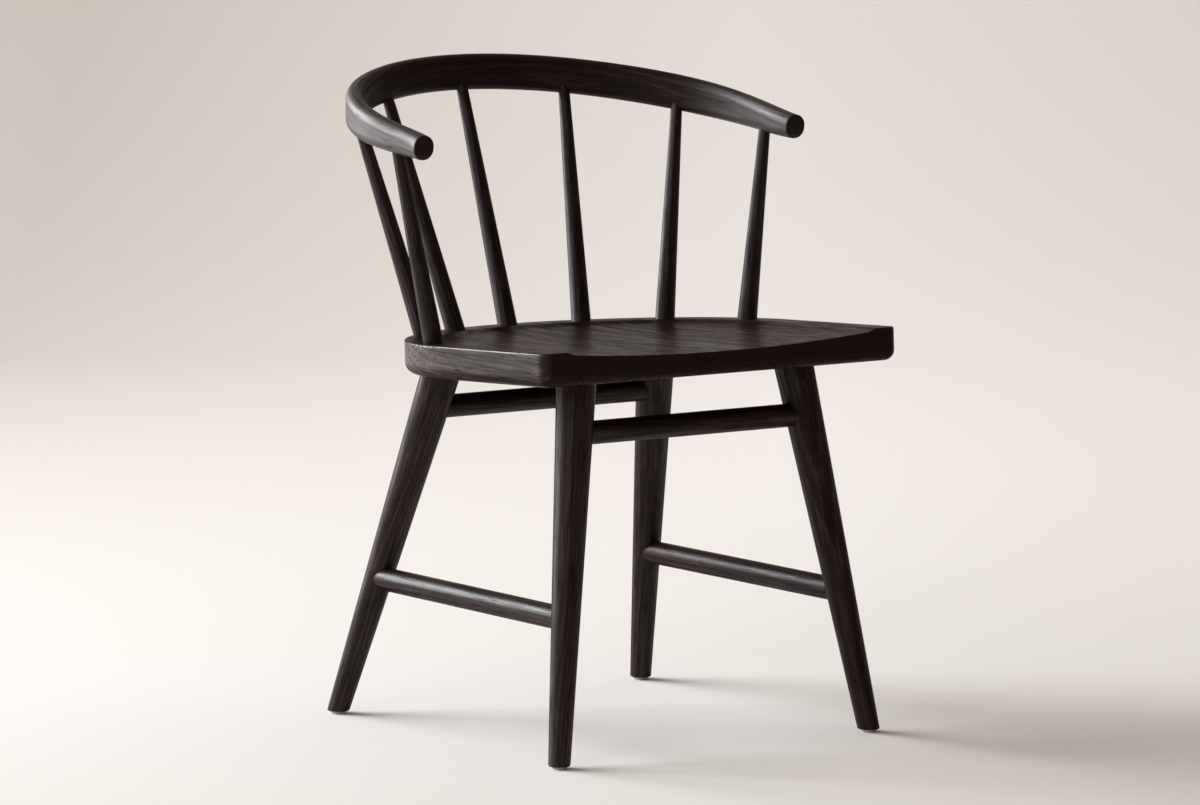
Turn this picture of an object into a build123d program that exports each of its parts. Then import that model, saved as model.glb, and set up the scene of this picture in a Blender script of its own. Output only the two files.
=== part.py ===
import math
import os

from build123d import *

# Millimetres and degrees. X runs to the right as seen from the front, Y to the back, Z up from the floor.
# Y counts from the seat's front edge; each finished piece moves forward by half the chair's depth.

# seat
seat_width = 474.0
seat_depth = 436.0
seat_thickness = 37.0
seat_height = 451.0  # rim above the floor at the front edge
seat_pitch = 3.0  # fall to the back
seat_corner_radius = 13.5
seat_under_radius = 12.0
seat_arris_radius = 2.0

# hollow of the seat
dish_rim = 30.0  # flat left beside the hollow
dish_back_rim = 40.0  # flat left behind it, for the spindles
dish_depth = 11.5
dish_step_depth = 3.6  # short slope that drops off the rim
dish_step_run = 10.0
dish_blend_radius = 25.0
dish_lip_radius = 1.2

# legs
leg_foot_radius = 12.05
leg_top_radius = 21.9
leg_side_inset = 91.2  # centre at the seat's underside, from its side
front_leg_inset = 71.6  # from its front edge
rear_leg_inset = 104.2  # from its back edge
leg_side_splay = 63.5  # foot beyond that point, outwards
front_leg_splay = 59.4  # forwards
rear_leg_splay = 117.6  # backwards
foot_chamfer = 1.2
leg_tenon_radius = 14.0
leg_tenon_length = 17.0

# stretchers
cross_stretcher_radius = 12.9
front_stretcher_drop = 57.0  # below the seat's underside at the legs
back_stretcher_drop = 43.3
side_stretcher_radius = 13.1
side_stretcher_height = 157.5
stretcher_tenon_radius = 8.5
stretcher_tenon_short = 3.0  # tenon ends this far short of the leg's centre line

# arm rail
rail_side_overhang = 13.6  # centre line beyond the seat's sides
rail_back_overhang = 78.0  # and beyond its back edge
rail_back_angle = 50.0  # half angle of the flatter back bend
rail_side_radius = 213.0
rail_arm_length = 74.3  # straight part of each arm
rail_end_rise = 205.2  # centre line above the front rim, at the arm's end
rail_back_rise = 258.4
rail_arm_slope = 7.0
rail_back_thickness = 20.5
rail_back_height = 40.7
rail_back_rounding = 9.6
rail_end_thickness = 25.6
rail_end_height = 26.6
rail_end_rounding = 11.8
rail_taper_length = 218.0  # from each end, towards the back
rail_end_radius = 1.6

# spindles
spindle_foot_radius = 11.2
spindle_top_radius = 6.1  # at the rail's centre line
back_spindle_inset = 19.5  # centre to the seat's edge
back_pair_inset = 23.7
side_pair_inset = 20.9
arm_pair_inset = 18.4
spindle_top_reach = 6.0  # past the rail's centre line
spindle_tenon_radius = 8.0
spindle_tenon_length = 14.0
back_pair_angle = 23.8  # round the seat from its back
side_pair_angle = 49.4
arm_pair_angle = 76.9
back_pair_station = 127.6  # along the rail from its back
side_pair_station = 261.2
arm_pair_station = 394.8

# glides
glide_radius = 8.5
glide_thickness = 3.0
glide_edge_chamfer = 0.5
nail_head_radius = 4.0
nail_head_thickness = 0.9
nail_head_cover = 1.0  # plastic below the head
nail_shank_radius = 1.1
nail_length = 17.0

# fits
glue_gap = 0.1
nail_gap = 0.05

seat_round = seat_depth - seat_width / 2  # where the sides turn into the round back
rim = Plane(
    origin=(0, 0, seat_height),
    x_dir=(1, 0, 0),
    z_dir=(0, math.sin(math.radians(seat_pitch)), math.cos(math.radians(seat_pitch))),
)
underside = rim.offset(-seat_thickness)
rail_back_y = seat_depth + rail_back_overhang
rail_back_turn = math.radians(rail_back_angle)
rail_side_width = rail_side_radius * (1 - math.sin(rail_back_turn))
rail_back_radius = (seat_width / 2 + rail_side_overhang - rail_side_width) / math.sin(rail_back_turn)
front_overhang = (seat_thickness - seat_under_radius) * math.sin(math.radians(seat_pitch))
chair_middle = (rail_back_y + rail_back_thickness / 2 - front_overhang) / 2


def on_plane(plane, x, y):
    drop = plane.z_dir.X * x + plane.z_dir.Y * (y - plane.origin.Y)
    return Vector(x, y, plane.origin.Z - drop / plane.z_dir.Z)


def rod(start, end, start_radius, end_radius):
    # round bar between two points, straight or tapered
    along = end - start
    place = Plane(origin=start, z_dir=along).location
    base = (Align.CENTER, Align.CENTER, Align.MIN)
    if abs(start_radius - end_radius) < 1e-6:
        return place * Cylinder(start_radius, along.length, align=base)
    return place * Cone(start_radius, end_radius, along.length, align=base)


def taper(start, end, start_radius, end_radius, before, after, grow=0.0):
    # the same tapered bar run on past both its points
    unit = (end - start).normalized()
    rate = (end_radius - start_radius) / (end - start).length
    low = start_radius - rate * before + grow
    high = end_radius + rate * after + grow
    return rod(start - unit * before, end + unit * after, low, high)


def leg_line(side, row):
    top_x = seat_width / 2 - leg_side_inset
    top_y = front_leg_inset if row == "front" else seat_depth - rear_leg_inset
    foot_y = top_y - front_leg_splay if row == "front" else top_y + rear_leg_splay
    foot = Vector(side * (top_x + leg_side_splay), foot_y, 0)
    return foot, on_plane(underside, side * top_x, top_y)


def leg_point(side, row, height):
    foot, top = leg_line(side, row)
    return foot + (top - foot) * (height / top.Z)


def leg_tenon(side, row, grow=0.0):
    foot, top = leg_line(side, row)
    unit = (top - foot).normalized()
    radius = leg_tenon_radius + grow
    return rod(foot + (top - foot) * 0.9, top + unit * (leg_tenon_length + grow), radius, radius)


def leg_body(side, row, grow=0.0):
    foot, top = leg_line(side, row)
    return taper(foot, top, leg_foot_radius, leg_top_radius, 12, 15, grow)


def stretcher_tenon(start, end, grow=0.0):
    unit = (end - start).normalized()
    short = unit * (stretcher_tenon_short - grow)
    radius = stretcher_tenon_radius + grow
    return rod(start + short, end - short, radius, radius)


def stretcher(start, end, radius, bodies):
    bar = rod(start, end, radius, radius)
    for body in bodies:
        bar -= body
    return bar + stretcher_tenon(start, end)


def stretcher_lines():
    front = leg_line(1, "front")[1].Z - front_stretcher_drop
    back = leg_line(1, "rear")[1].Z - back_stretcher_drop
    side = side_stretcher_height
    return {
        "front": (leg_point(-1, "front", front), leg_point(1, "front", front)),
        "back": (leg_point(-1, "rear", back), leg_point(1, "rear", back)),
        "left": (leg_point(-1, "front", side), leg_point(-1, "rear", side)),
        "right": (leg_point(1, "front", side), leg_point(1, "rear", side)),
    }


def glide_centre(side, row):
    point = leg_point(side, row, glide_thickness)
    return Vector(point.X, point.Y, 0)


def nail(side, row, grow=0.0):
    floor = glide_centre(side, row)
    head_low = floor + Vector(0, 0, nail_head_cover - grow)
    head_high = floor + Vector(0, 0, nail_head_cover + nail_head_thickness + grow)
    tip = floor + Vector(0, 0, nail_head_cover + nail_length + grow)
    head = rod(head_low, head_high, nail_head_radius + grow, nail_head_radius + grow)
    return head + rod(head_low, tip, nail_shank_radius + grow, nail_shank_radius + grow)


def glide(side, row):
    floor = glide_centre(side, row)
    disc = rod(floor, floor + Vector(0, 0, glide_thickness), glide_radius, glide_radius)
    disc = chamfer(disc.edges().group_by(Axis.Z)[0], glide_edge_chamfer)
    return disc - nail(side, row, nail_gap)


def leg(side, row):
    body = split(leg_body(side, row), bisect_by=underside, keep=Keep.BOTTOM)
    body = split(body, bisect_by=Plane.XY.offset(glide_thickness), keep=Keep.TOP)
    body = chamfer(body.edges().group_by(Axis.Z)[0], foot_chamfer)
    body += leg_tenon(side, row)
    row_name = "front" if row == "front" else "back"
    side_name = "left" if side < 0 else "right"
    for name in (row_name, side_name):
        body -= stretcher_tenon(*stretcher_lines()[name], glue_gap)
    return body - nail(side, row, nail_gap)


def rail_heading(station):
    # plan position and direction at a distance along the rail from its back, on the right-hand side
    back_run = rail_back_radius * rail_back_turn
    side_run = rail_side_radius * (math.pi / 2 - rail_back_turn)
    turn = min(station, back_run) / rail_back_radius
    x = rail_back_radius * math.sin(turn)
    y = rail_back_y - rail_back_radius * (1 - math.cos(turn))
    if station > back_run:
        turn = rail_back_turn + min(station - back_run, side_run) / rail_side_radius
        x += rail_side_radius * (math.sin(turn) - math.sin(rail_back_turn))
        y -= rail_side_radius * (math.cos(rail_back_turn) - math.cos(turn))
    y -= max(station - back_run - side_run, 0)
    return x, y, turn


def rail_half_length():
    side_run = rail_side_radius * (math.pi / 2 - rail_back_turn)
    return rail_back_radius * rail_back_turn + side_run + rail_arm_length


def rail_rise(y):
    # the arms climb at a steady slope that steepens towards the back
    end_y = rail_heading(rail_half_length())[1]
    slope = math.tan(math.radians(rail_arm_slope))
    reach = rail_back_y - end_y
    bend = (rail_back_rise - rail_end_rise - slope * reach) / reach**2
    run = y - end_y
    return rail_end_rise + slope * run + bend * run**2, slope + 2 * bend * run


def rail_place(station):
    # section plane at a signed station; its X points outwards and its Y upwards
    side = 1 if station >= 0 else -1
    x, y, turn = rail_heading(abs(station))
    rise, slope = rail_rise(y)
    along = Vector(math.cos(turn), -side * math.sin(turn), -side * slope * math.sin(turn))
    outwards = Vector(side * math.sin(turn), math.cos(turn), 0)
    return Plane(origin=(side * x, y, seat_height + rise), x_dir=outwards, z_dir=along)


def rail_section(station, inset=0.0):
    to_end = rail_half_length() - abs(station)
    full = math.sin(min(to_end / rail_taper_length, 1) * math.pi / 2)
    thickness = rail_end_thickness + (rail_back_thickness - rail_end_thickness) * full
    height = rail_end_height + (rail_back_height - rail_end_height) * full
    rounding = rail_end_rounding + (rail_back_rounding - rail_end_rounding) * full
    rounding = min(rounding, 0.49 * thickness, 0.49 * height)
    outline = RectangleRounded(thickness - 2 * inset, height - 2 * inset, rounding - inset)
    return rail_place(station) * outline


def spindle_ends():
    # name: foot on the seat's rim, top on the rail's centre line
    pairs = {
        "back": (0, back_spindle_inset, 0),
        "back_right": (back_pair_angle, back_pair_inset, back_pair_station),
        "side_right": (side_pair_angle, side_pair_inset, side_pair_station),
        "arm_right": (arm_pair_angle, arm_pair_inset, arm_pair_station),
    }
    ends = {}
    for name, (angle, inset, station) in pairs.items():
        swing = math.radians(angle)
        circle = seat_width / 2 - inset
        foot = on_plane(rim, circle * math.sin(swing), seat_round + circle * math.cos(swing))
        top = rail_place(station).origin
        ends[name] = (foot, top)
        if station:
            left = name.replace("right", "left")
            ends[left] = (Vector(-foot.X, foot.Y, foot.Z), Vector(-top.X, top.Y, top.Z))
    return ends


def spindle_taper(foot, top, grow=0.0):
    return taper(foot, top, spindle_foot_radius, spindle_top_radius, 8, spindle_top_reach + grow, grow)


def spindle_tenon(foot, top, grow=0.0):
    unit = (top - foot).normalized()
    radius = spindle_tenon_radius + grow
    return rod(foot + unit * 12, foot - unit * (spindle_tenon_length + grow), radius, radius)


def spindle(foot, top):
    body = split(spindle_taper(foot, top), bisect_by=rim, keep=Keep.TOP)
    return body + spindle_tenon(foot, top)


def arm_rail():
    flush = rail_half_length() - rail_end_radius
    count = 8
    rail = loft([rail_section(flush * step / count) for step in range(-count, count + 1)])
    for side in (-1, 1):
        rings = []
        for turn in (0, math.pi / 4, math.pi / 2):
            station = flush + rail_end_radius * math.sin(turn)
            rings.append(rail_section(side * station, rail_end_radius * (1 - math.cos(turn))))
        rail += loft(rings, ruled=True)
    for foot, top in spindle_ends().values():
        rail -= spindle_taper(foot, top, glue_gap)
    return rail


def dish_profile():
    # right half of the hollow's section: rim, short slope, long shallow bowl
    edge = seat_width / 2 - dish_rim
    bowl = edge - dish_step_run
    fall = dish_depth - dish_step_depth
    bowl_radius = (bowl**2 + fall**2) / (2 * fall)
    over = dish_step_depth
    mouth = edge + dish_step_run
    tilt = math.asin(bowl / bowl_radius) / 2
    middle = (bowl_radius * math.sin(tilt), -dish_depth + bowl_radius * (1 - math.cos(tilt)))
    lines = [
        Line((0, -dish_depth), (0, over)),
        Line((0, over), (mouth, over)),
        Line((mouth, over), (bowl, -dish_step_depth)),
        ThreePointArc((bowl, -dish_step_depth), middle, (0, -dish_depth)),
    ]
    face = make_face(lines)
    foot = face.vertices().sort_by_distance((bowl, -dish_step_depth))[0]
    return fillet(foot, dish_blend_radius)


def seat():
    half = seat_width / 2
    outline = make_face(
        [
            Line((-half, 0), (half, 0)),
            Line((half, 0), (half, seat_round)),
            ThreePointArc((half, seat_round), (0, seat_depth), (-half, seat_round)),
            Line((-half, seat_round), (-half, 0)),
        ]
    )
    outline = fillet(outline.vertices().group_by(Axis.Y)[0], seat_corner_radius)
    board = extrude(outline, -seat_thickness)
    board = fillet(board.edges().group_by(Axis.Z)[0], seat_under_radius)
    board = fillet(board.edges().group_by(Axis.Z)[-1], seat_arris_radius)
    dish_round = seat_depth - dish_back_rim - (half - dish_rim)
    upright = Plane(origin=(0, dish_round, 0), x_dir=(1, 0, 0), z_dir=(0, -1, 0))
    right = dish_profile()
    trough = right + mirror(right, about=Plane.YZ)
    board -= extrude(upright * trough, dish_round + 10)
    board -= revolve(upright * right, Axis((0, dish_round, 0), (0, 0, 1)), 180)
    lip = board.faces().sort_by(Axis.Y)[0].edges().filter_by_position(Axis.X, dish_rim - half, half - dish_rim)
    board = fillet(lip.filter_by_position(Axis.Z, -dish_depth - 1, 0), dish_lip_radius)
    board = rim.location * board
    for row in ("front", "rear"):
        for side in (-1, 1):
            board -= leg_tenon(side, row, glue_gap)
    for foot, top in spindle_ends().values():
        board -= spindle_tenon(foot, top, glue_gap)
    return board


def chair():
    pieces = {"seat": seat(), "arm_rail": arm_rail()}
    for name, (foot, top) in spindle_ends().items():
        pieces["spindle_" + name] = spindle(foot, top)
    lines = stretcher_lines()
    nails = []
    for row in ("front", "rear"):
        for side, side_name in ((-1, "left"), (1, "right")):
            corner = f"{row}_{side_name}"
            pieces["leg_" + corner] = leg(side, row)
            pieces["glide_" + corner] = glide(side, row)
            nails.append(nail(side, row))
    for name, (start, end) in lines.items():
        cross = name in ("front", "back")
        radius = cross_stretcher_radius if cross else side_stretcher_radius
        legs = {
            "front": [(-1, "front"), (1, "front")],
            "back": [(-1, "rear"), (1, "rear")],
            "left": [(-1, "front"), (-1, "rear")],
            "right": [(1, "front"), (1, "rear")],
        }[name]
        bodies = [leg_body(side, row, glue_gap) for side, row in legs]
        pieces["stretcher_" + name] = stretcher(start, end, radius, bodies)
    pieces["glide_nails"] = Compound(children=[Pos(0, 0, 0) * one for one in nails])
    return pieces


os.makedirs("parts", exist_ok=True)
for node, shape in chair().items():
    export_step(Pos(0, -chair_middle, 0) * shape, f"parts/{node}.step")
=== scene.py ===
import bpy
import math
from mathutils import Euler, Matrix, Vector

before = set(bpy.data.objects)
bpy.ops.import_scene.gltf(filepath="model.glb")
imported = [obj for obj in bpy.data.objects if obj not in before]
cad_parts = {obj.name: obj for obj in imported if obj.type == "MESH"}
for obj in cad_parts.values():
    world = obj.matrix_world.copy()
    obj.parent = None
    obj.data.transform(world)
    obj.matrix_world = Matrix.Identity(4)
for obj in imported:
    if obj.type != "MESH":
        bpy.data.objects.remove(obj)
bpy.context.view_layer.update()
scene = bpy.context.scene
scene.view_settings.view_transform = "Standard"
print("chair loaded,", len(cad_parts), "pieces")


class Shade:  # one socket, so that shader sums read as plain sums
    def __init__(self, tree, socket=None):
        self.tree = tree
        self.socket = socket

    def add(self, kind, settings=None, sockets=None, out=0):  # any node, its settings before its sockets
        node = self.tree.nodes.new(kind)
        for name, value in (settings or {}).items():
            setattr(node, name, value)
        for name, value in (sockets or {}).items():
            if isinstance(value, Shade):
                self.tree.links.new(value.socket, node.inputs[name])
            else:
                node.inputs[name].default_value = value
        return Shade(self.tree, node.outputs[out])

    def pick(self, name):  # another output of the same node
        return Shade(self.tree, self.socket.node.outputs[name])

    def split(self):  # x, y and z of a vector
        x = self.add("ShaderNodeSeparateXYZ", None, {"Vector": self})
        return x, x.pick("Y"), x.pick("Z")

    def sum(self, operation, *values):
        return self.add("ShaderNodeMath", {"operation": operation}, dict(enumerate(values)))

    def __add__(self, other):
        return self.sum("ADD", self, other)

    def __radd__(self, other):
        return self.sum("ADD", other, self)

    def __sub__(self, other):
        return self.sum("SUBTRACT", self, other)

    def __rsub__(self, other):
        return self.sum("SUBTRACT", other, self)

    def __mul__(self, other):
        return self.sum("MULTIPLY", self, other)

    def __rmul__(self, other):
        return self.sum("MULTIPLY", other, self)

    def __truediv__(self, other):
        return self.sum("DIVIDE", self, other)

    def __pow__(self, other):
        return self.sum("POWER", self, other)

    def __abs__(self):
        return self.sum("ABSOLUTE", self)

    def root(self):
        return self.sum("SQRT", self)

    def atLeast(self, low):
        return self.sum("MAXIMUM", self, low)

    def span(self, low, high, start=0.0, end=1.0):  # low..high becomes start..end, held at both ends
        return self.add("ShaderNodeMapRange", {"clamp": True}, {0: self, 1: low, 2: high, 3: start, 4: end})

    def stretch(self, scale):
        return self.add("ShaderNodeVectorMath", {"operation": "MULTIPLY"}, {0: self, 1: scale})

    def noise(self, scale, detail=2.0, roughness=0.5):  # scale in spots per metre, each way
        values = {"Vector": self.stretch(scale), "Scale": 1.0, "Detail": detail, "Roughness": roughness}
        return self.add("ShaderNodeTexNoise", {"noise_dimensions": "3D"}, values, "Fac")

    def mix(self, share, first, second):  # colours
        return self.add("ShaderNodeMix", {"data_type": "RGBA"}, {0: share, 6: first, 7: second}, 2)


def newMaterial(name):
    material = bpy.data.materials.new(name)
    material.use_nodes = True
    material.node_tree.nodes.clear()
    shade = Shade(material.node_tree)
    coordinate = shade.add("ShaderNodeTexCoord", None, None, "Object")
    return material, shade, coordinate


def finishMaterial(shade, sockets, over=None):  # over wraps the surface in another shader
    surface = shade.add("ShaderNodeBsdfPrincipled", None, sockets)
    surface = over(surface) if over else surface
    output = shade.tree.nodes.new("ShaderNodeOutputMaterial")
    shade.tree.links.new(surface.socket, output.inputs["Surface"])


def dress(node, material):
    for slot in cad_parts[node].material_slots:
        slot.material = material


# grain: each layer's spots per metre across, across and along the wood, its detail and its roughness
grainSettings = {
    "wander": ((7, 7, 1.5), 2, 0.5),
    "wanderReach": 0.04,
    "ripple": ((60, 60, 9), 2, 0.5),
    "rippleReach": 0.004,
    "lateRise": 1.8,
    "lateStop": (0.80, 1.0),
    "streak": ((310, 310, 17), 3, 0.6),
    "streakSpan": (0.32, 0.68),
    "fibre": ((760, 760, 26), 2, 0.6),
    "fibreSpan": (0.28, 0.72),
    "cloud": ((16, 16, 5), 2, 0.5),
    "cloudSpan": (0.3, 0.7),
    "pore": ((640, 640, 44), 1, 0.5),
    "poreSpan": (0.60, 0.68),
}


# wood is in metres, z along the grain and the heart of the log at x = y = 0
def grainLayers(wood, ringWidth, settings):
    x, y = wood.split()[:2]
    wander = (wood.noise(*settings["wander"]) - 0.5) * settings["wanderReach"]
    ripple = (wood.noise(*settings["ripple"]) - 0.5) * settings["rippleReach"]
    ringPlace = ((x * x + y * y).root() + wander + ripple) / ringWidth
    ring = ringPlace.sum("FRACT", ringPlace)
    layers = {"late": (ring ** settings["lateRise"]) * (1 - ring.span(*settings["lateStop"]))}  # summer wood
    for name in ("streak", "fibre", "cloud", "pore"):
        layers[name] = wood.noise(*settings[name]).span(*settings[name + "Span"])
    return layers


# ebonised wood: brown-black stain with the grain showing in the sheen, a thin satin oil on top
stainSettings = {
    "deep": (0.0068, 0.0026, 0.0028, 1),
    "body": (0.0200, 0.0080, 0.0083, 1),
    "bodySpan": (0.10, 0.60),
    "pale": (0.0510, 0.0295, 0.0290, 1),
    "paleSpan": (0.50, 1.00),
    "tone": {"late": 0.46, "streak": 0.30, "fibre": 0.14, "cloud": 0.22},  # what makes the stain paler
    "ringWidth": 0.0048,
    "contrast": 0.85,
    # pores: darker, rougher and drier
    "poreShare": 0.7,
    "poreRough": 0.12,
    "poreDry": 0.6,
    # edges rubbed pale, in patches
    "worn": (0.0760, 0.0450, 0.0420, 1),
    "wearReach": 0.003,
    "wearSamples": 6,
    "wearSpan": (0.55, 0.85),
    "wearPatch": (0.2, 0.9, 0.3, 1.0),
    "wearShare": 0.40,
    # sawn ends: plain, flat and dry
    "sawn": (0.0150, 0.0086, 0.0086, 1),
    "sawnShare": 0.85,
    "sawnFlat": 0.75,
    "sawnRough": 0.16,
    # sheen: oil lies on the dense grain, and less of it shows at a slant
    "sheen": {"streak": 0.75, "late": 0.55, "fibre": 0.25},
    "sheenMiddle": 0.66,
    "sheenSmooth": 0.24,
    "roughness": 0.44,
    "roughLimits": (0.24, 0.80),
    "gloss": 0.03,
    "oil": 0.45,
    "oilRoughness": 0.30,
    "oilIndex": 1.5,
    "bareShare": 0.7,
    "rimSpan": (0.5, 0.9),
    "rimShare": 0.9,
    # relief of the grain
    "relief": {"streak": 0.62, "fibre": 0.22, "late": 0.30},
    "poreDepth": 0.50,
    "bumpHeight": 0.00030,
    "bumpStrength": 0.7,
}


def blend(layers, shares):
    total = 0.0
    for name, share in shares.items():
        total = layers[name] * share + total
    return total


# endGrain masks the sawn ends, bare the places where the oil has gone
def stainedWood(shade, wood, endGrain=0.0, bare=0.0, finish=None):
    settings = {**stainSettings, **(finish or {})}
    layers = grainLayers(wood, settings["ringWidth"], grainSettings)
    pore = layers["pore"]

    light = blend(layers, settings["tone"])
    colour = shade.mix(light.span(*settings["bodySpan"]), settings["deep"], settings["body"])
    colour = shade.mix(light.span(*settings["paleSpan"]), colour, settings["pale"])
    colour = shade.mix(pore * settings["poreShare"], colour, settings["deep"])
    edges = {"inside": True, "only_local": True, "samples": settings["wearSamples"]}
    corner = 1 - shade.add("ShaderNodeAmbientOcclusion", edges, {"Distance": settings["wearReach"]}, "AO")
    patch = layers["streak"] * layers["cloud"].span(*settings["wearPatch"])
    wear = corner.span(*settings["wearSpan"]) * patch
    colour = shade.mix(wear * settings["wearShare"], colour, settings["worn"])
    colour = shade.mix(endGrain * settings["sawnShare"], colour, settings["sawn"])

    contrast = settings["contrast"] * (1 - endGrain * settings["sawnFlat"])
    sheen = (blend(layers, settings["sheen"]) - settings["sheenMiddle"]) * contrast
    rough = settings["roughness"] - sheen * settings["sheenSmooth"]
    rough = rough + pore * settings["poreRough"] + endGrain * settings["sawnRough"]
    oil = settings["oil"] * (1 + sheen) * (1 - pore * settings["poreDry"] * contrast)
    oil = oil * (1 - endGrain * settings["sawnShare"]) * (1 - bare * settings["bareShare"])
    slant = shade.add("ShaderNodeLayerWeight", None, None, "Facing")
    height = (blend(layers, settings["relief"]) - pore * settings["poreDepth"]) * contrast
    bump = {"Height": height, "Strength": settings["bumpStrength"], "Distance": settings["bumpHeight"]}
    finishMaterial(shade, {
        "Base Color": colour,
        "Roughness": rough.span(*settings["roughLimits"], *settings["roughLimits"]),
        "Coat Weight": oil * (1 - slant.span(*settings["rimSpan"]) * settings["rimShare"]),
        "Normal": shade.add("ShaderNodeBump", None, bump),
        "Specular IOR Level": settings["gloss"],
        "Coat Roughness": settings["oilRoughness"],
        "Coat IOR": settings["oilIndex"],
    })


# legs, stretchers and spindles, right-hand side; the left is its mirror
turnedLines = {
    "leg_front": ((0.2093, -0.2493, 0.0), (0.1458, -0.1899, 0.4102)),
    "leg_rear": ((0.2093, 0.1879, 0.0), (0.1458, 0.0703, 0.3966)),
    "stretcher": ((0.1849, -0.2265, 0.1575), (0.1841, 0.1412, 0.1575)),
    "spindle_back": ((0.0861, 0.1327, 0.4304), (0.1226, 0.2221, 0.7027)),
    "spindle_side": ((0.1641, 0.0782, 0.4332), (0.2197, 0.1325, 0.6847)),
    "spindle_arm": ((0.2129, -0.0129, 0.4380), (0.2506, 0.0046, 0.6637)),
}
# pieces that cross the middle or stand on it
middleLines = {
    "stretcher_front": ((-0.1546, -0.1981, 0.3532), (0.1546, -0.1981, 0.3532)),
    "stretcher_back": ((-0.1527, 0.0832, 0.3533), (0.1527, 0.0832, 0.3533)),
    "spindle_back": ((0.0, 0.1550, 0.4292), (0.0, 0.2525, 0.7094)),
}
turnedFinish = {
    "leg_front_left": {"oil": 0.52, "oilRoughness": 0.46},
    "leg_rear_left": {"oil": 0.39, "oilRoughness": 0.40},
    "leg_front_right": {"oil": 0.27, "oilRoughness": 0.40},
    "leg_rear_right": {"oil": 0.31, "oilRoughness": 0.40},
    "stretcher_right": {"oil": 0.18},
    "stretcher": {"oil": 0.37},
    "spindle": {"oil": 0.58, "oilRoughness": 0.48},
}
blankSettings = {"heart": 0.045, "heartStep": 0.011, "heartSteps": 4, "twistStep": 2.4}


# a turned piece: grain along the line from start to end
def straightGrain(name, start, end, heart, twist, finish):
    material, shade, coordinate = newMaterial(name)
    line = Vector(end) - Vector(start)
    turn = line.to_track_quat("Z", "Y").to_matrix() @ Matrix.Rotation(twist, 3, "Z")
    origin = Vector(start) + turn @ Vector((heart, 0, 0))
    sockets = {"Vector": coordinate, "Location": origin, "Rotation": turn.to_euler()}
    wood = shade.add("ShaderNodeMapping", {"vector_type": "TEXTURE"}, sockets)
    stainedWood(shade, wood, finish=finish)
    return material


def dressTurned(settings):
    lines = dict(middleLines)
    for name, (start, end) in turnedLines.items():
        for side, sign in (("left", -1), ("right", 1)):
            lines[name + "_" + side] = [(sign * x, y, z) for x, y, z in (start, end)]
    for count, (name, (start, end)) in enumerate(lines.items()):
        # each blank sawn from another part of the log
        heart = settings["heart"] + settings["heartStep"] * (count % settings["heartSteps"])
        twist = settings["twistStep"] * count
        finish = turnedFinish.get(name, turnedFinish.get(name.split("_")[0]))
        dress(name, straightGrain("stain_" + name, start, end, heart, twist, finish))
    print("turned pieces dressed:", len(lines))


# seat: boards side by side, grain from front to back, each board from another part of the log
seatSettings = {
    "boardWidth": 0.119,
    "boardShift": 0.02,
    "heartHeight": 0.36,
    "luckAcross": 0.09,
    "luckUp": 0.05,
    "luckAlong": 7,
    "topSpan": (0.88, 0.97),  # how far a face looks up, down or to the ends
    "underSpan": (0.02, 0.40),
    "endSpan": (0.75, 0.97),
    "finish": {
        "gloss": 0.02, "oil": 0.66, "bareShare": 0.82,
        "rimShare": 0.0, "ringWidth": 0.0085, "contrast": 1.0,
    },
}


def dressSeat(settings):
    material, shade, coordinate = newMaterial("stain_seat")
    across, along, up = coordinate.split()
    boards = (across + settings["boardShift"]) / settings["boardWidth"]
    board = boards.sum("FLOOR", boards)
    luck = shade.add("ShaderNodeTexWhiteNoise", {"noise_dimensions": "1D"}, {"W": board}, "Color")
    luck = shade.add("ShaderNodeSeparateColor", None, {"Color": luck})
    x = (boards - board - 0.5) * settings["boardWidth"] + (luck.pick("Red") - 0.5) * settings["luckAcross"]
    y = up - settings["heartHeight"] + luck.pick("Green") * settings["luckUp"]
    z = along + luck.pick("Blue") * settings["luckAlong"]
    wood = shade.add("ShaderNodeCombineXYZ", None, {"X": x, "Y": y, "Z": z})
    facing = coordinate.pick("Normal").split()
    ends = abs(facing[1]).span(*settings["endSpan"])
    # the top is rubbed dry, and the underside has little oil
    bare = facing[2].span(*settings["topSpan"]) + (0 - facing[2]).span(*settings["underSpan"])
    stainedWood(shade, wood, ends, bare, settings["finish"])
    dress("seat", material)
    print("seat dressed")


# arm rail: bent, so the grain follows the bend; arcs and climb in metres
railSettings = {
    "backY": 0.2525,
    "backRadius": 0.2621,
    "backAngle": 50.0,
    "sideRadius": 0.213,
    "halfWidth": 0.2506,
    "armLength": 0.0743,
    "endDepth": (0.0025, 0.0008),
    "endY": -0.0523,
    "endHeight": 0.6562,
    "slope": 0.1228,
    "climb": 0.1699,
    "heartOut": 0.052,
    "heartUp": 0.012,
    "innerSpan": (-0.004, 0.008),  # inside of the back, less handled
    "backSpan": (0.02, 0.10),
    "finish": {  # burnished by hands, outside more than in
        "oil": 0.74, "oilIndex": 1.85, "oilRoughness": 0.56,
        "contrast": 0.5, "bareShare": 0.8, "rimShare": 0.3,
    },
}


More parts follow.
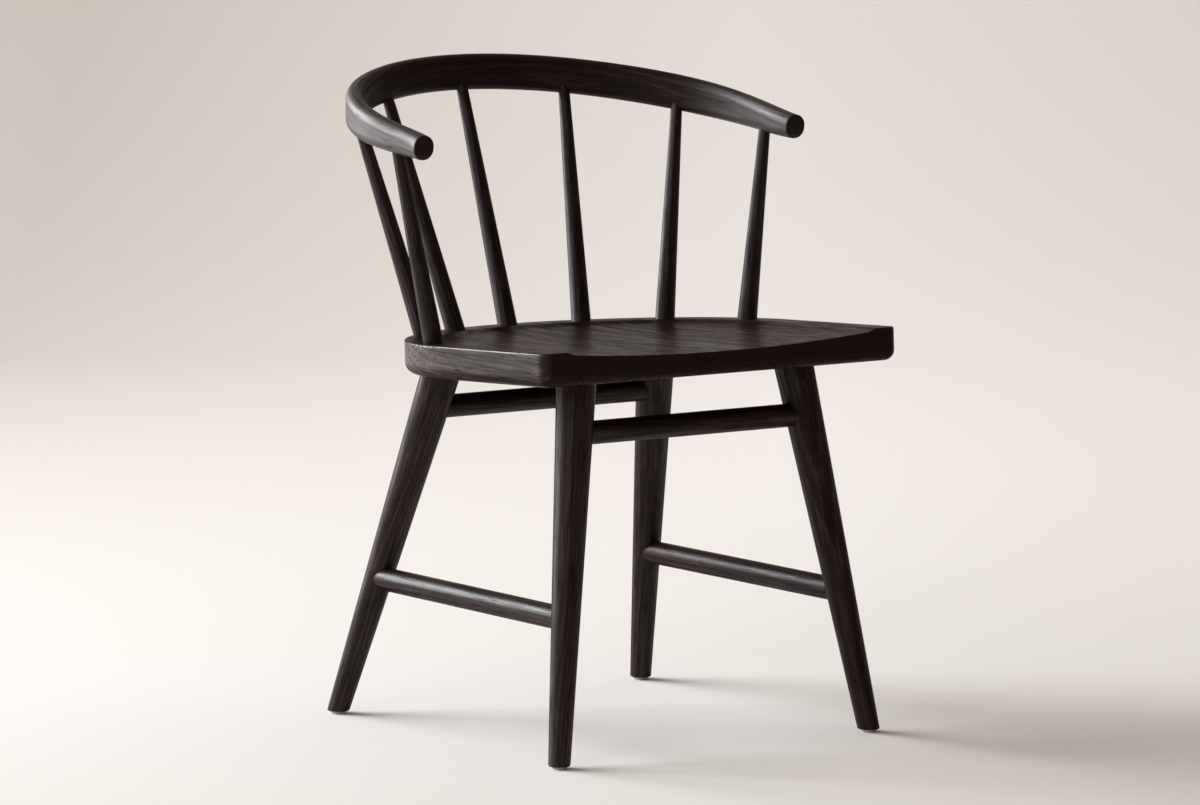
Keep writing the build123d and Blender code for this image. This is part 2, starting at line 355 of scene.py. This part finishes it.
def dressRail(settings):
    material, shade, coordinate = newMaterial("stain_arm_rail")
    x, y, z = coordinate.split()
    out = abs(x)
    bend = math.radians(settings["backAngle"])
    backRadius, sideRadius = settings["backRadius"], settings["sideRadius"]
    backY = settings["backY"] - backRadius
    sideX = settings["halfWidth"] - sideRadius
    sideY = backY + (backRadius - sideRadius) * math.cos(bend)
    # round the back
    fromBack = y - backY
    backTurn = out.sum("ARCTAN2", out, fromBack)
    backOff = (out * out + fromBack * fromBack).root() - backRadius
    backRun = backTurn * backRadius
    # round the side, then straight along the arm
    fromSide, forward = out - sideX, y - sideY
    curved = forward.atLeast(0.0)
    ahead = (0 - forward).atLeast(0.0)
    sideOff = (fromSide * fromSide + curved * curved).root() - sideRadius
    sideTurn = math.pi / 2 - curved.sum("ARCTAN2", curved, fromSide)
    sideRun = backRadius * bend + (sideTurn - bend) * sideRadius + ahead
    onSide = backTurn.sum("GREATER_THAN", backTurn, bend)
    off = backOff + (sideOff - backOff) * onSide
    run = (backRun + (sideRun - backRun) * onSide) * x.sum("SIGN", x)
    along = y - settings["endY"]
    rise = z - settings["endHeight"] - along * settings["slope"] - along * along * settings["climb"]
    place = {"X": off + settings["heartOut"], "Y": rise + settings["heartUp"], "Z": run}
    wood = shade.add("ShaderNodeCombineXYZ", None, place)
    ends = ahead.span(*(settings["armLength"] - depth for depth in settings["endDepth"]))
    bare = (0 - off).span(*settings["innerSpan"]) * forward.span(*settings["backSpan"])
    stainedWood(shade, wood, ends, bare, settings["finish"])
    dress("arm_rail", material)
    print("arm rail dressed")


# glides: cloudy nylon pads
glideSettings = {
    "nylon": (0.62, 0.58, 0.52, 1),
    "scuffed": (0.42, 0.38, 0.33, 1),
    "cloud": ((300, 300, 300), 3),
    "cloudSpan": (0.3, 0.75),
    "scuff": ((1800, 420, 900), 2),
    "scuffSpan": (0.55, 0.7),
    "scuffShare": 0.5,
    "scuffHeight": 0.0001,
    "scuffStrength": 0.3,
    "scuffRough": 0.25,
    "roughness": 0.38,
}


def dressGlides(settings):
    material, shade, coordinate = newMaterial("glide_nylon")
    cloud = coordinate.noise(*settings["cloud"]).span(*settings["cloudSpan"])
    scuff = coordinate.noise(*settings["scuff"]).span(*settings["scuffSpan"])
    colour = shade.mix(cloud, settings["nylon"], settings["scuffed"])
    colour = shade.mix(scuff * settings["scuffShare"], colour, settings["scuffed"])
    bump = {"Height": scuff, "Strength": settings["scuffStrength"], "Distance": settings["scuffHeight"]}
    finishMaterial(shade, {
        "Base Color": colour,
        "Roughness": settings["roughness"] + settings["scuffRough"] * scuff,
        "Normal": shade.add("ShaderNodeBump", None, bump),
    })
    for name in ("front_left", "front_right", "rear_left", "rear_right"):
        dress("glide_" + name, material)
    print("glides dressed")


# plated nails that hold the glides
nailSettings = {
    "steel": (0.56, 0.55, 0.53, 1),
    "dulled": (0.36, 0.35, 0.34, 1),
    "dull": ((900, 900, 900), 3),
    "dullSpan": (0.35, 0.7),
    "dullRough": 0.3,
    "roughness": 0.25,
}


def dressNails(settings):
    material, shade, coordinate = newMaterial("nail_plated")
    dull = coordinate.noise(*settings["dull"])
    finishMaterial(shade, {
        "Base Color": shade.mix(dull.span(*settings["dullSpan"]), settings["steel"], settings["dulled"]),
        "Metallic": 1.0,
        "Roughness": settings["roughness"] + settings["dullRough"] * dull,
    })
    dress("glide_nails", material)
    print("nails dressed")


# camera where the photograph was taken from
cameraSettings = {
    "place": (-4.3889, -6.2621, 1.3033),
    "yaw": 35.142,
    "pitch": 7.0585,
    "roll": 0.0917,
    "lens": 207.5,
    "sensor": 36,
}


def addCamera(settings):
    data = bpy.data.cameras.new("photoCamera")
    data.lens = settings["lens"]
    data.sensor_width = settings["sensor"]
    camera = bpy.data.objects.new("photoCamera", data)
    look = Euler((math.radians(90 - settings["pitch"]), 0, math.radians(-settings["yaw"]))).to_matrix()
    camera.rotation_euler = (look @ Matrix.Rotation(math.radians(settings["roll"]), 3, "Z")).to_euler()
    camera.location = settings["place"]
    scene.collection.objects.link(camera)
    scene.camera = camera
    print("camera placed")


# floor that runs up into a plain wall behind the chair, square to the camera, and a wide floor just under it
# both can be seen from their painted side alone, so the chair shows from the back and from below too
coveSettings = {
    "width": 16.0,
    "front": 9.0,
    "behind": 8.5,
    "height": 6.0,
    "bend": 4.5,
    "bendSteps": 24,
    "slack": 0.01,
    "apron": 70.0,
    "apronDrop": 0.002,
    "paint": (0.912, 0.892, 0.870, 1),
    # painted shade: the paint turns darker and warmer towards the back, and much darker on the left of the
    # back
    "farShadedPaint": (0.815, 0.784, 0.758, 1),
    "farLeftShadedPaint": (0.53, 0.485, 0.445, 1),
    "leftShadeSpan": (-1.0, 0.3),
    "farShadeSpan": (0.3, 3.5),
    "roughness": 0.85,
    "gloss": 0.2,
    "speck": (260, 260, 260),
    "speckHeight": 0.0004,
    "speckStrength": 0.1,
}


def covePaint(settings):
    material, shade, coordinate = newMaterial("cove_paint")
    turned = {"Vector": coordinate, "Rotation": (0, 0, math.radians(-cameraSettings["yaw"]))}
    across, deep = shade.add("ShaderNodeMapping", {"vector_type": "TEXTURE"}, turned).split()[:2]
    # painted shade on the backdrop: darker towards the back, darker still on its left
    far = shade.mix(across.span(*settings["leftShadeSpan"]), settings["farLeftShadedPaint"], settings["farShadedPaint"])
    speck = coordinate.noise(settings["speck"])
    bump = {"Height": speck, "Strength": settings["speckStrength"], "Distance": settings["speckHeight"]}
    back = shade.add("ShaderNodeNewGeometry", None, None, "Backfacing")
    clear = shade.add("ShaderNodeBsdfTransparent")

    def oneSided(surface):
        return shade.add("ShaderNodeMixShader", None, {0: back, 1: surface, 2: clear})

    finishMaterial(shade, {
        "Base Color": shade.mix(deep.span(*settings["farShadeSpan"]), settings["paint"], far),
        "Roughness": settings["roughness"],
        "Normal": shade.add("ShaderNodeBump", None, bump),
        "Specular IOR Level": settings["gloss"],
    }, oneSided)
    return material


def selectEdges(mesh, wanted):
    for part in (mesh.polygons, mesh.edges, mesh.vertices):
        part.foreach_set("select", [False] * len(part))
    for vertex in mesh.vertices:
        vertex.select = wanted(vertex.co)
    for edge in mesh.edges:
        edge.select = all(mesh.vertices[i].select for i in edge.vertices)


def addPlane(name, size, place=(0, 0, 0)):
    bpy.ops.object.select_all(action="DESELECT")
    bpy.ops.mesh.primitive_plane_add(size=size, location=place)
    plane = bpy.context.object
    plane.name = name
    return plane


def addCove(settings):
    cove = addPlane("cove", 1)
    mesh = cove.data
    depth = settings["front"] + settings["behind"]
    nearWall = settings["behind"] - settings["slack"]
    bpy.ops.object.mode_set(mode="EDIT")
    bpy.ops.transform.resize(value=(settings["width"], depth, 1))
    bpy.ops.transform.translate(value=(0, settings["behind"] - depth / 2, 0))
    bpy.ops.object.mode_set(mode="OBJECT")
    selectEdges(mesh, lambda point: point.y > nearWall)
    bpy.ops.object.mode_set(mode="EDIT")
    bpy.ops.mesh.select_mode(type="EDGE")
    bpy.ops.mesh.extrude_region_move(TRANSFORM_OT_translate={"value": (0, 0, settings["height"])})
    bpy.ops.object.mode_set(mode="OBJECT")
    selectEdges(mesh, lambda point: point.y > nearWall and abs(point.z) < settings["slack"])
    bpy.ops.object.mode_set(mode="EDIT")
    bpy.ops.mesh.bevel(offset=settings["bend"], segments=settings["bendSteps"])
    bpy.ops.mesh.select_all(action="SELECT")
    yaw = math.radians(cameraSettings["yaw"])
    bpy.ops.transform.rotate(value=yaw, orient_axis="Z", center_override=(0, 0, 0))
    bpy.ops.object.mode_set(mode="OBJECT")
    bpy.ops.object.shade_smooth()
    material = covePaint(settings)
    mesh.materials.append(material)
    apron = addPlane("apron", settings["apron"], (0, 0, -settings["apronDrop"]))
    apron.data.materials.append(material)
    print("cove built")


# soft boxes, each by its turn to the left of the camera's line and its rise
# the wash is a strip high up on the right, turned to the backdrop
lightSettings = {
    "key": {"turn": 86, "rise": 32, "far": 6.5, "size": (3.6, 3.8), "power": 315.0},
    "side": {"turn": 50, "rise": 14, "far": 11.0, "size": (5.6, 4.4), "power": 890.0},
    "flank": {"turn": 66, "rise": 18, "far": 11.0, "size": (6.6, 4.8), "power": 755.0},
    "front": {"turn": 150, "rise": 22, "far": 9.0, "size": (3.0, 3.0), "power": 85.0},
    "wash": {"from": (2.2, 1.3, 4.4), "to": (0.0, 8.0, 2.9), "size": (3.0, 0.8), "power": 80.0},
    "aim": (0, 0, 0.42),
    "colour": (0.965, 0.985, 1.0),
    "fill": (0.178, 0.125, 0.090, 1),
}


def addLamp(name, settings, place, aim):
    data = bpy.data.lights.new(name + "Light", "AREA")
    data.shape = "RECTANGLE"
    data.size, data.size_y = settings["size"]
    data.energy = settings["power"]
    data.color = lightSettings["colour"]
    lamp = bpy.data.objects.new(name + "Light", data)
    lamp.location = place
    lamp.rotation_euler = (aim - place).to_track_quat("-Z", "Y").to_euler()
    lamp.visible_camera = False
    scene.collection.objects.link(lamp)


def addLights(settings):
    yaw = cameraSettings["yaw"]
    aim = Vector(settings["aim"])
    for name in ("key", "side", "flank", "front"):
        box = settings[name]
        turn = Euler((math.radians(box["rise"]), 0, math.radians(box["turn"] - yaw))).to_matrix()
        addLamp(name, box, aim + turn @ Vector((0, box["far"], 0)), aim)
    wash = settings["wash"]
    turn = Matrix.Rotation(math.radians(-yaw), 3, "Z")
    addLamp("wash", wash, turn @ Vector(wash["from"]), turn @ Vector(wash["to"]))
    world = bpy.data.worlds.new("room")
    world.use_nodes = True
    world.node_tree.nodes["Background"].inputs["Color"].default_value = settings["fill"]
    scene.world = world
    print("lights placed")


dressTurned(blankSettings)
dressSeat(seatSettings)
dressRail(railSettings)
dressGlides(glideSettings)
dressNails(nailSettings)
addCamera(cameraSettings)
addCove(coveSettings)
addLights(lightSettings)
